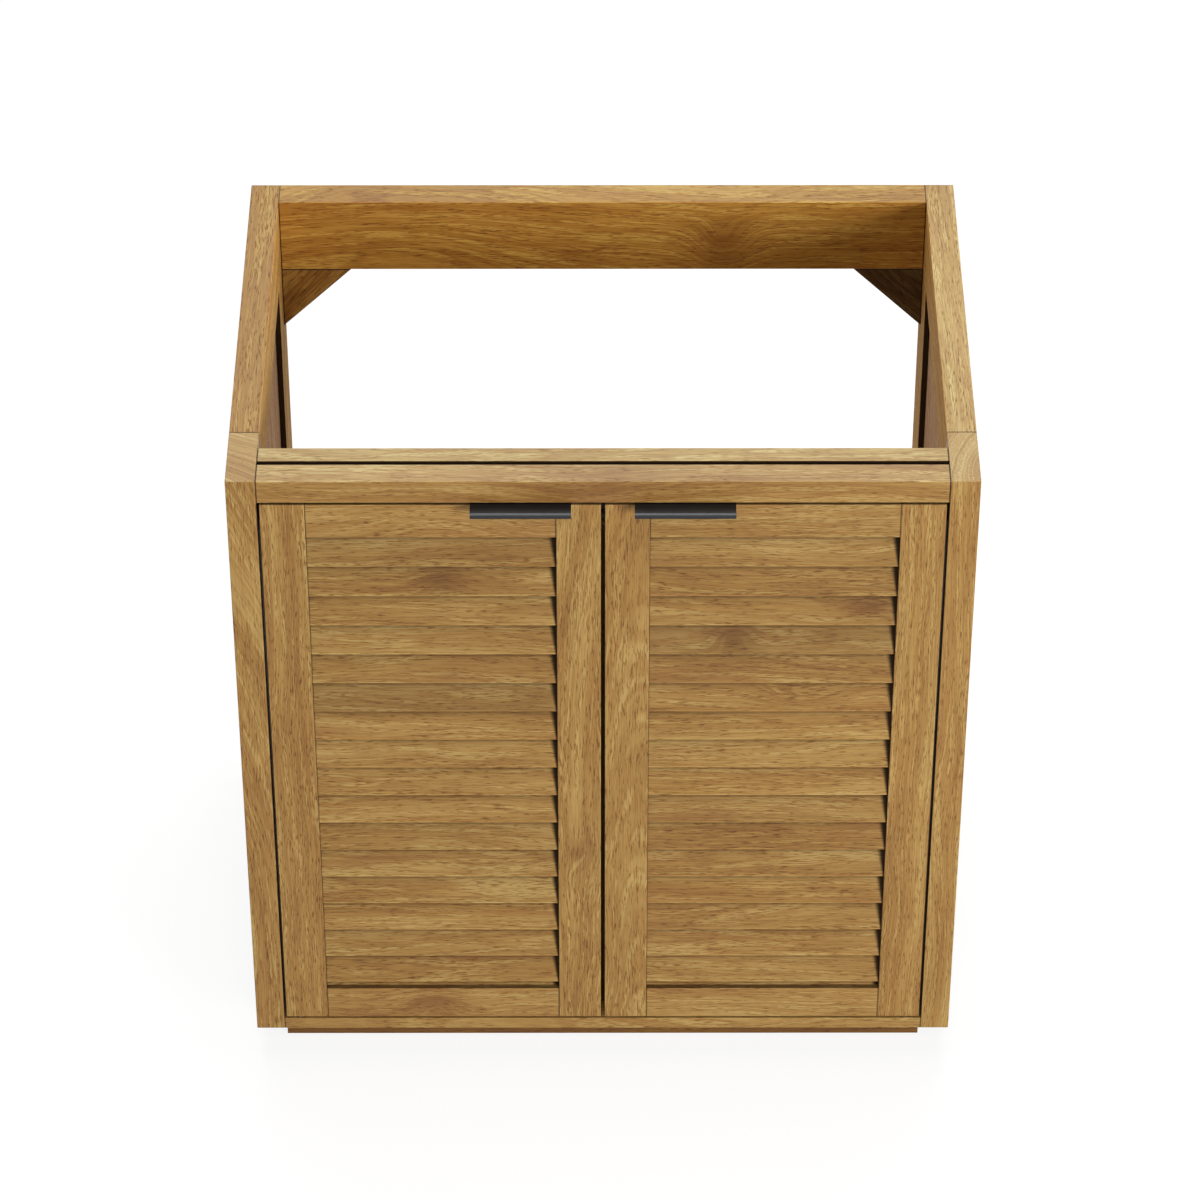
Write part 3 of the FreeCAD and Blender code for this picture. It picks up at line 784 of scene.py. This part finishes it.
# Louvre slats: their places repeat the CAD part's own sizes, in millimetres
SLAT_PITCH = 30.77
SLAT_TILT = math.radians(10.0)
SLAT_SET_BACK = 0.8
SLAT_FRONT = CABINET_FRONT + SLAT_SET_BACK
SLAT_HOUSED_END = 6.7

# How the slats' wood varies: a least value and a spread above it
SLAT_TONE = (0.88, 0.10)
SLAT_HEART = (24.0, 60.0)
SLAT_LOG_DEPTH = (20.0, 45.0)
SLAT_SLANT = 0.12
SLAT_WARMTH = 0.7
SLAT_GRAIN_SHIFT = 830.0
SLAT_DRAW_STEP = 0.37
SLAT_DRAWS = 2
SLAT_INDEX_MARGIN = 0.05
HALF_A_SLAT = 0.5

# The lower edge, the ends and the painted shade of a slat, in millimetres, with their darkness: the painted
# shadow of the stile on a slat's right end and painted shade under the slat above
SLAT_LOWER_EDGE = 0.9
SLAT_END_SEAM = 0.8
SLAT_CORNER_MARGIN = 0.8
SLAT_CORNER_REACH = 1.3
SLAT_CORNER_CORE = 0.45
SLAT_CORNER_DARKNESS = 0.90
UNDER_EDGE_RANGE = (SLAT_PITCH - 15.0, SLAT_PITCH - 5.0)
UNDER_EDGE_DARKNESS = 0.16
EDGE_LINE_RANGE = (SLAT_PITCH - 6.4, SLAT_PITCH - 5.2)
EDGE_LINE_DARKNESS = 0.28
SLAT_SEEDS = {"left": 51.0, "right": 52.0}
SLAT_TONES = {"left": {1: 0.90, 6: 0.87}, "right": {4: 0.86}}
SLAT_KNOTS = {
    "left": {2: Knot(9.0, -2.0, 20.0, 17.0, 8.0, 0.60)},
    "right": {
        3: Knot(79.0, 4.0, 24.0, 11.0, 4.0, 0.65),
        4: Knot(-32.0, 0.0, 18.0, 14.0, 8.0, 0.60),
        6: Knot(25.0, 0.0, 34.0, 12.0, -12.0, 0.15),
    },
}


def spread(least_and_spread, draw):
    least, width = least_and_spread
    return least + draw * width


def slat_material(node, side):
    """One wood for a stack of slats, in which each slat is a board of its own.

    On a leaning slat the height less the set-back over the tangent of the tilt is the height of the slat's
    lower edge, so the count of pitches from the top of the stack numbers the slats.
    """
    look = bpy.context.scene.cabinet_wood
    shading = Shading.of_material(node)
    low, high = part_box(node)
    parts = shading.parts(shading.place())
    x, y, z = (parts[axis] * MILLIMETRES for axis in AXES)
    leaning = z - (y - SLAT_FRONT) * (1.0 / math.tan(SLAT_TILT))
    number = ((high.z * MILLIMETRES - leaning) * (1.0 / SLAT_PITCH) + SLAT_INDEX_MARGIN).floor()
    seed = SLAT_SEEDS[side]
    draws = []
    for step in range(SLAT_DRAWS):
        chance = shading.node(
            "ShaderNodeTexWhiteNoise",
            {"noise_dimensions": "1D"},
            {"W": number + (seed + step * SLAT_DRAW_STEP)},
            "Color",
        )
        draws.extend(shading.parts(chance)[axis] for axis in AXES)
    heart_draw, depth_draw, slant_draw, tone_draw, warmth_draw, _ = draws
    along = x - (low.x + high.x) / 2 * MILLIMETRES
    above_edge = z - high.z * MILLIMETRES + number * SLAT_PITCH
    across = above_edge - SLAT_PITCH / 2
    tone = spread(SLAT_TONE, tone_draw)
    for slat, value in SLAT_TONES[side].items():
        tone = tone * (1.0 + number.is_near(slat, HALF_A_SLAT) * (value - 1.0))
    knots = []
    for slat, knot in SLAT_KNOTS[side].items():
        mask = number.is_near(slat, HALF_A_SLAT)
        knots.append(knot._replace(push=mask * knot.push, darkness=mask * knot.darkness))
    figure = Figure(
        axes=LEVEL_FRONT,
        seed=seed,
        heart=spread(SLAT_HEART, heart_draw),
        depth=spread(SLAT_LOG_DEPTH, depth_draw) - SLAT_FRONT + along * slant_draw.swing() * SLAT_SLANT,
        rise=0.0,
        tone=tone,
        warmth=warmth_draw * SLAT_WARMTH,
        knots=tuple(knots),
    )
    recess = y - CABINET_FRONT
    seen_half = (high.x - low.x) * (MILLIMETRES / 2) - SLAT_HOUSED_END
    from_end = seen_half - along.size()
    # Painted shadow of the stile on the slat's right end, wider where the slat lies deeper
    corner = shading.step(
        seen_half - along, recess * SLAT_CORNER_REACH + SLAT_CORNER_MARGIN, recess * SLAT_CORNER_CORE
    )
    # Painted shade under the slat above: a weak broad band and a thin dark line
    under_edge = shading.step(above_edge, *UNDER_EDGE_RANGE)
    edge_line = shading.step(above_edge, *EDGE_LINE_RANGE)
    lit = 1.0 - corner * SLAT_CORNER_DARKNESS
    lit = lit * (1.0 - under_edge * UNDER_EDGE_DARKNESS) * (1.0 - edge_line * EDGE_LINE_DARKNESS)
    grain = Grain(
        along=along,
        across=across,
        through=y,
        seams=shading.step(from_end, SLAT_END_SEAM, SLAT_END_SEAM / 2),
        # Painted highlight along the slat's lower edge
        edges=shading.step(above_edge, SLAT_LOWER_EDGE * 2, SLAT_LOWER_EDGE),
        corners=1.0 - lit,
    )
    return wood_material(shading, look, figure, grain, number * SLAT_GRAIN_SHIFT)


# Fittings: the painted highlight on the pulls in millimetres, noise in repeats per metre and the depth of
# fine relief in metres
HIGHLIGHT_BEND = 1.6
HIGHLIGHT_REACH = 9.0
HIGHLIGHT_SHARE = 0.25
PEEL_SCALE = 1600.0
PEEL_STRENGTH = 0.12
COAT_CLOUD_SCALE = 60.0
COAT_SHEEN = 0.08
COAT_SPECULAR = 0.25
TARNISH_SCALE = 140.0
TARNISH_SHEEN = 0.1
METAL_BRIGHTNESS = 0.80
METAL_SHADE = 0.2
MARKS_ROUGHNESS = 0.12
MARKS_STRENGTH = 0.08
MOULD_SCALE = 2400.0
MOULD_STRENGTH = 0.15
MOULD_ROUGHNESS = 0.5
MOULD_SHEEN = 0.2
PLASTIC_CLOUD_SCALE = 90.0
CLOUD_BRIGHTNESS = 0.85
CLOUD_SHADE = 0.3
FINE_RELIEF = 0.0001


def evenly(scale):
    return (scale,) * 3


def coated_metal(name, colour, highlight_colour, roughness, bend):
    """Powder coat with a faint orange peel and a painted highlight, paler towards a bend and most of all
    along it.

    The bend is the y and z, in millimetres, of the corner that it rounds.
    """
    shading = Shading.of_material(name)
    place = shading.parts(shading.place())
    peel = shading.noise(shading.place(), evenly(PEEL_SCALE), seed=3.0)
    cloud = shading.noise(shading.place(), evenly(COAT_CLOUD_SCALE), seed=4.0)
    ahead = place["y"] * MILLIMETRES - bend[0]
    below = place["z"] * MILLIMETRES - bend[1]
    away = (ahead * ahead + below * below) ** 0.5
    # Painted highlight: faintly paler over the plate towards the bend and strongly paler along it
    highlight = shading.step(away, HIGHLIGHT_REACH, HIGHLIGHT_BEND) * HIGHLIGHT_SHARE
    highlight = highlight + shading.step(away, HIGHLIGHT_BEND, HIGHLIGHT_BEND / 2) * (1.0 - HIGHLIGHT_SHARE)
    coat = shading.mix(highlight, opaque(colour), opaque(highlight_colour))
    return shading.surface({
        "Base Color": shading.brightened(coat, CLOUD_BRIGHTNESS + cloud * CLOUD_SHADE),
        "Roughness": roughness + cloud.swing() * COAT_SHEEN,
        "Normal": shading.bump(peel, PEEL_STRENGTH, FINE_RELIEF),
        "Specular IOR Level": COAT_SPECULAR,
    })


def worked_metal(name, colour, stretch, roughness):
    """Bare metal with fine tool marks, drawn out by a stretch."""
    shading = Shading.of_material(name)
    marks = shading.noise(shading.place(), stretch, seed=5.0, detail=3.0, roughness=0.6)
    tarnish = shading.noise(shading.place(), evenly(TARNISH_SCALE), seed=6.0)
    brightness = METAL_BRIGHTNESS + marks * METAL_SHADE + tarnish * METAL_SHADE
    return shading.surface({
        "Base Color": shading.brightened(colour, brightness),
        "Metallic": 1.0,
        "Roughness": roughness + marks * MARKS_ROUGHNESS + tarnish.swing() * TARNISH_SHEEN,
        "Normal": shading.bump(marks, MARKS_STRENGTH, FINE_RELIEF),
    })


def moulded_plastic(name, colour):
    """Moulded plastic with a fine spark-eroded grain."""
    shading = Shading.of_material(name)
    grain = shading.noise(shading.place(), evenly(MOULD_SCALE), seed=7.0)
    cloud = shading.noise(shading.place(), evenly(PLASTIC_CLOUD_SCALE), seed=8.0)
    return shading.surface({
        "Base Color": shading.brightened(colour, CLOUD_BRIGHTNESS + cloud * CLOUD_SHADE),
        "Roughness": MOULD_ROUGHNESS + grain.swing() * MOULD_SHEEN,
        "Normal": shading.bump(grain, MOULD_STRENGTH, FINE_RELIEF),
    })


# Screws: head radius, shank radius and length repeat the CAD part's own sizes
SCREW_HEAD_RADIUS = 0.0030
SCREW_SHANK_RADIUS = 0.0016
SCREW_LENGTH = 0.0140
SCREW_TIP = 0.0030
SCREW_POINT = 0.0002
SCREW_POINT_WIDTH = 0.05
SCREW_EYE = 0.04
SCREW_COLUMNS = 48
SCREW_FACE_ROWS = 16
SCREW_SINK_ROWS = 4
SCREW_SHANK_ROWS = 119
RECESS_WALL = 0.4
RECESS_STEEPNESS = 3.0
RECESS_RIM = 0.4
DOWN = Vector((0.0, 0.0, -1.0))
INWARD = Vector((0.0, 1.0, 0.0))


def screw_surface(sizes, head, direction):
    """A countersunk screw as a surface of revolution, from the middle of its head to its tip.

    Over the head the radius grows and the depth is that of the cross recess, which falls off to its rim and
    outside its arms. Then the radius shrinks down the countersink, follows a helix of cosine ridges down the
    shank and closes in a point.
    """
    angle = full_turn(SCREW_COLUMNS)
    face = np.linspace(SCREW_EYE, 1.0, SCREW_FACE_ROWS)[:, None] * SCREW_HEAD_RADIUS
    arm = np.minimum(np.abs(face * np.cos(angle)), np.abs(face * np.sin(angle)))
    inside = np.clip((sizes.recess_width - arm) / (RECESS_WALL * sizes.recess_width) + 0.5, 0.0, 1.0)
    slope = np.clip(1.0 - face / sizes.recess_radius, 0.0, 1.0)
    deepening = np.minimum(1.0, RECESS_STEEPNESS * slope) * (RECESS_RIM + (1.0 - RECESS_RIM) * slope)
    face_depth = sizes.recess_depth * inside * deepening
    sink = np.linspace(0.0, 1.0, SCREW_SINK_ROWS + 1)[1:, None]
    sink_depth = sink * (SCREW_HEAD_RADIUS - SCREW_SHANK_RADIUS)
    sink_radius = SCREW_HEAD_RADIUS - sink_depth
    shank_top = sink_depth[-1, 0]
    shank_depth = np.linspace(shank_top, SCREW_LENGTH - SCREW_POINT, SCREW_SHANK_ROWS + 1)[1:, None]
    ridge = 0.5 + 0.5 * np.cos(math.tau * shank_depth / sizes.thread_pitch - angle)
    started = np.clip((shank_depth - shank_top) / sizes.thread_pitch, 0.0, 1.0)
    taper = np.clip((SCREW_LENGTH - shank_depth) / SCREW_TIP, SCREW_POINT_WIDTH, 1.0)
    shank_radius = (SCREW_SHANK_RADIUS - sizes.thread_depth * started * (1.0 - ridge ** 2)) * taper
    wide = np.ones_like(angle)
    radius = np.concatenate([face * wide, sink_radius * wide, shank_radius])
    depth = np.concatenate([face_depth, sink_depth * wide, shank_depth * wide])
    local = np.stack([radius * np.cos(angle), radius * np.sin(angle), -depth], axis=-1)
    turn = np.array((-direction).to_track_quat("Z", "Y").to_matrix())
    poles = np.array([[0.0, 0.0, -face_depth[0].max()], [0.0, 0.0, -SCREW_LENGTH]])
    return local @ turn.T + np.array(head), poles @ turn.T + np.array(head)


def screws_piece(name, heads, direction, material, body, node):
    """The screws of one fitting in one mesh, in place of their CAD node."""
    sizes = bpy.context.scene.cabinet_screws
    vertices = []
    faces = []
    for head in heads:
        grid, poles = screw_surface(sizes, head, direction)
        rows, columns = grid.shape[:2]
        first = sum(len(part) for part in vertices)
        index = first + np.arange(rows * columns).reshape(rows, columns)
        after = np.roll(index, -1, axis=1)
        top, tip = first + rows * columns, first + rows * columns + 1
        vertices.extend([grid.reshape(-1, 3), poles])
        cap = np.stack([np.full(columns, top), index[0], after[0]], axis=-1)
        point = np.stack([np.full(columns, tip), after[-1], index[-1]], axis=-1)
        faces.extend(ring_quads(index) + cap.tolist() + point.tolist())
    mesh = bpy.data.meshes.new(name)
    mesh.from_pydata(np.concatenate(vertices).tolist(), [], faces)
    mesh.materials.append(material)
    mesh.shade_smooth()
    piece = put_in_scene(name, mesh)
    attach(piece, body)
    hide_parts(node)


PULL_ROUGHNESS = 0.30
TURNED_MARKS = (90.0, 90.0, 2600.0)
STEEL_ROUGHNESS = 0.24
BRASS_ROUGHNESS = 0.22
PLATED_MARKS = (900.0, 900.0, 90.0)
PLATED_ROUGHNESS = 0.28
ZINC_MARKS = (700.0, 700.0, 700.0)
ZINC_ROUGHNESS = 0.42


class CABINET_OT_carcass(Operator):
    """Finish the boards of the carcass"""

    bl_idname = "cabinet.carcass"
    bl_label = "Finish Carcass"

    def execute(self, context):
        finish_boards(CARCASS_FIGURES)
        return {"FINISHED"}


class CABINET_OT_doors(Operator):
    """Finish the stiles and rails of the doors"""

    bl_idname = "cabinet.doors"
    bl_label = "Finish Door Frames"

    def execute(self, context):
        finish_boards(DOOR_FIGURES)
        return {"FINISHED"}


class CABINET_OT_slats(Operator):
    """Finish the louvre slats, each with a grain of its own"""

    bl_idname = "cabinet.slats"
    bl_label = "Finish Slats"

    def execute(self, context):
        for side in SIDES:
            node = side + "_louvre_slats"
            dress(node, slat_material(node, side))
        return {"FINISHED"}


class CABINET_OT_pulls(Operator):
    """Finish the tab pulls"""

    bl_idname = "cabinet.pulls"
    bl_label = "Finish Pulls"

    def execute(self, context):
        look = context.scene.cabinet_fittings
        low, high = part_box("left_pull")
        bend = (low.y * MILLIMETRES, high.z * MILLIMETRES)
        black = coated_metal("pull_black", look.pull_colour, look.bend_highlight_colour, PULL_ROUGHNESS, bend)
        for side in SIDES:
            dress(side + "_pull", black)
        return {"FINISHED"}


class CABINET_OT_pivots(Operator):
    """Finish the pivot pins and bushes of the doors"""

    bl_idname = "cabinet.pivots"
    bl_label = "Finish Pivots"

    def execute(self, context):
        look = context.scene.cabinet_fittings
        steel = worked_metal("turned_steel", look.steel_colour, TURNED_MARKS, STEEL_ROUGHNESS)
        brass = worked_metal("turned_brass", look.brass_colour, TURNED_MARKS, BRASS_ROUGHNESS)
        for side in SIDES:
            for level in ("upper", "lower"):
                dress(f"{side}_{level}_pivot_pin", steel)
                dress(f"{side}_{level}_bush", brass)
        return {"FINISHED"}


class CABINET_OT_catch(Operator):
    """Finish the magnetic catch and its strike plates"""

    bl_idname = "cabinet.catch"
    bl_label = "Finish Catch"

    def execute(self, context):
        look = context.scene.cabinet_fittings
        steel = worked_metal("plated_steel", look.steel_colour, PLATED_MARKS, PLATED_ROUGHNESS)
        dress("catch_housing", moulded_plastic("catch_plastic", look.plastic_colour))
        dress("catch_magnets", steel)
        for side in SIDES:
            dress(side + "_strike_plate", steel)
        return {"FINISHED"}


class CABINET_OT_screws(Operator):
    """Make the threaded screws of the pulls and of the catch"""

    bl_idname = "cabinet.screws"
    bl_label = "Make Screws"

    def execute(self, context):
        look = context.scene.cabinet_fittings
        zinc = worked_metal("dark_zinc", look.screw_colour, ZINC_MARKS, ZINC_ROUGHNESS)
        for side in SIDES:
            node = side + "_pull_screws"
            low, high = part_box(node)
            middle = (low + high) / 2
            heads = [
                Vector((x, middle.y, high.z))
                for x in (low.x + SCREW_HEAD_RADIUS, high.x - SCREW_HEAD_RADIUS)
            ]
            screws_piece(side + "_pull_screws_made", heads, DOWN, zinc, side + "_door", node)
        low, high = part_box("catch_screw")
        head = (low + high) / 2
        head.y = low.y
        screws_piece("catch_screw_made", [head], INWARD, zinc, "carcass", "catch_screw")
        return {"FINISHED"}


# Stage
FLOOR_RINGS = 8
FLOOR_COLUMNS = 96
FLOOR_SHADOW_COLOUR = (0.20, 0.20, 0.20)
FLOOR_WHITE = 0.86
SKY_COLOUR = (1.0, 1.0, 1.0)
SENSOR_WIDTH = 36.0


class SoftBox(NamedTuple):
    """A square area light, in metres, and the look that gives its power."""

    name: str
    place: tuple
    target: tuple
    size: float
    power: str


SOFT_BOXES = (
    SoftBox("key_light", (3.2, -3.8, 1.1), (0.0, 0.0, 0.35), 2.0, "key_power"),
    SoftBox("edge_light", (0.0, -2.3, 3.0), (0.0, -0.2, 0.6), 0.6, "edge_power"),
    SoftBox("top_light", (0.0, 0.6, 3.3), (0.0, 0.0, 0.6), 2.0, "top_power"),
    SoftBox("back_light", (0.2, 2.3, 2.6), (0.0, 0.0, 0.6), 2.0, "back_power"),
)


def round_floor(radius):
    """A flat disc: the radius grows with one parameter and the angle with the other."""
    share = np.linspace(0.0, 1.0, FLOOR_RINGS + 1)[1:, None]
    angle = full_turn(FLOOR_COLUMNS)
    x = share * radius * np.cos(angle)
    y = share * radius * np.sin(angle)
    points = np.stack([x, y, np.zeros_like(x)], axis=-1)
    index = np.arange(x.size).reshape(x.shape)
    mesh = bpy.data.meshes.new("floor")
    mesh.from_pydata(points.reshape(-1, 3), [], ring_quads(index) + [index[0].tolist()])
    mesh.update()
    return mesh


def seen_directly(shading):
    """1 for rays from the camera and for reflections and refractions of it, 0 for light on matt surfaces."""
    camera, glossy, transmission = (
        shading.node("ShaderNodeLightPath", output=name)
        for name in ("Is Camera Ray", "Is Glossy Ray", "Is Transmission Ray")
    )
    return (camera + glossy + transmission).at_most(1.0)


def lay_floor(look):
    """A floor that lights the cabinet as a pale one and is seen as white with a soft shadow."""
    shading = Shading.of_material("pale_floor")
    lit = shading.node("ShaderNodeBsdfDiffuse", None, {"Color": opaque(look.floor_colour)})
    shadow = shading.node("ShaderNodeBsdfDiffuse", None, {"Color": opaque(FLOOR_SHADOW_COLOUR)})
    white = shading.node("ShaderNodeEmission", None, {"Strength": FLOOR_WHITE})
    shown = shading.node("ShaderNodeAddShader", None, {0: white, 1: shadow})
    both = shading.node("ShaderNodeMixShader", None, {0: seen_directly(shading), 1: lit, 2: shown})
    shading.node("ShaderNodeOutputMaterial", None, {"Surface": both})
    mesh = round_floor(look.floor_radius)
    mesh.materials.append(shading.material)
    floor = put_in_scene("floor", mesh)


def surround_with_white(look):
    """A surround that is white where it is seen directly and weaker as light on matt surfaces."""
    world = bpy.data.worlds.new("white_surround")
    world.use_nodes = True
    bpy.context.scene.world = world
    shading = Shading(world.node_tree)
    strength = seen_directly(shading) * (1.0 - look.sky_strength) + look.sky_strength
    sky = {"Color": opaque(SKY_COLOUR), "Strength": strength}
    background = shading.node("ShaderNodeBackground", None, sky)
    shading.node("ShaderNodeOutputWorld", None, {"Surface": background})


def hang_soft_box(box, power):
    data = bpy.data.lights.new(box.name, "AREA")
    data.shape = "SQUARE"
    data.size = box.size
    data.energy = power
    lamp = put_in_scene(box.name, data)
    lamp.location = box.place
    away = lamp.location - Vector(box.target)
    lamp.rotation_euler = away.to_track_quat("Z", "Y").to_euler()


def set_up_camera(look):
    data = bpy.data.cameras.new("camera")
    data.lens = look.lens
    data.sensor_width = SENSOR_WIDTH
    camera = put_in_scene("camera", data)
    camera.location = look.camera_place
    camera.rotation_euler = (math.pi / 2 - look.camera_pitch, 0.0, -look.camera_turn)
    bpy.context.scene.camera = camera


class CABINET_OT_stage(Operator):
    """Set up the floor, the studio light and the camera"""

    bl_idname = "cabinet.stage"
    bl_label = "Set Stage"

    def execute(self, context):
        look = context.scene.cabinet_stage
        context.scene.view_settings.view_transform = "Standard"
        lay_floor(look)
        surround_with_white(look)
        for box in SOFT_BOXES:
            hang_soft_box(box, getattr(look, box.power))
        set_up_camera(look)
        return {"FINISHED"}


class VIEW3D_PT_cabinet(Panel):
    """The cabinet's operators and looks"""

    bl_label = "Louvred Cabinet"
    bl_space_type = "VIEW_3D"
    bl_region_type = "UI"
    bl_category = "Cabinet"

    def draw(self, context):
        for operator in OPERATORS:
            self.layout.operator(operator.bl_idname)
        for name, group in LOOKS.items():
            box = self.layout.box()
            for prop in group.__annotations__:
                box.prop(getattr(context.scene, name), prop)


OPERATORS = (
    CABINET_OT_carcass,
    CABINET_OT_doors,
    CABINET_OT_slats,
    CABINET_OT_pulls,
    CABINET_OT_pivots,
    CABINET_OT_catch,
    CABINET_OT_screws,
    CABINET_OT_stage,
)
LOOKS = {
    "cabinet_wood": WoodLook,
    "cabinet_fittings": FittingLook,
    "cabinet_screws": ScrewSizes,
    "cabinet_stage": StageLook,
}
CLASSES = (*LOOKS.values(), *OPERATORS, VIEW3D_PT_cabinet)


def register():
    for cls in CLASSES:
        bpy.utils.register_class(cls)
    for name, group in LOOKS.items():
        setattr(bpy.types.Scene, name, PointerProperty(type=group))


def unregister():
    for name in LOOKS:
        delattr(bpy.types.Scene, name)
    for cls in reversed(CLASSES):
        bpy.utils.unregister_class(cls)


def main():
    register()
    bpy.ops.cabinet.carcass()
    bpy.ops.cabinet.doors()
    bpy.ops.cabinet.slats()
    bpy.ops.cabinet.pulls()
    bpy.ops.cabinet.pivots()
    bpy.ops.cabinet.catch()
    bpy.ops.cabinet.screws()
    bpy.ops.cabinet.stage()


if __name__ == "__main__":
    main()
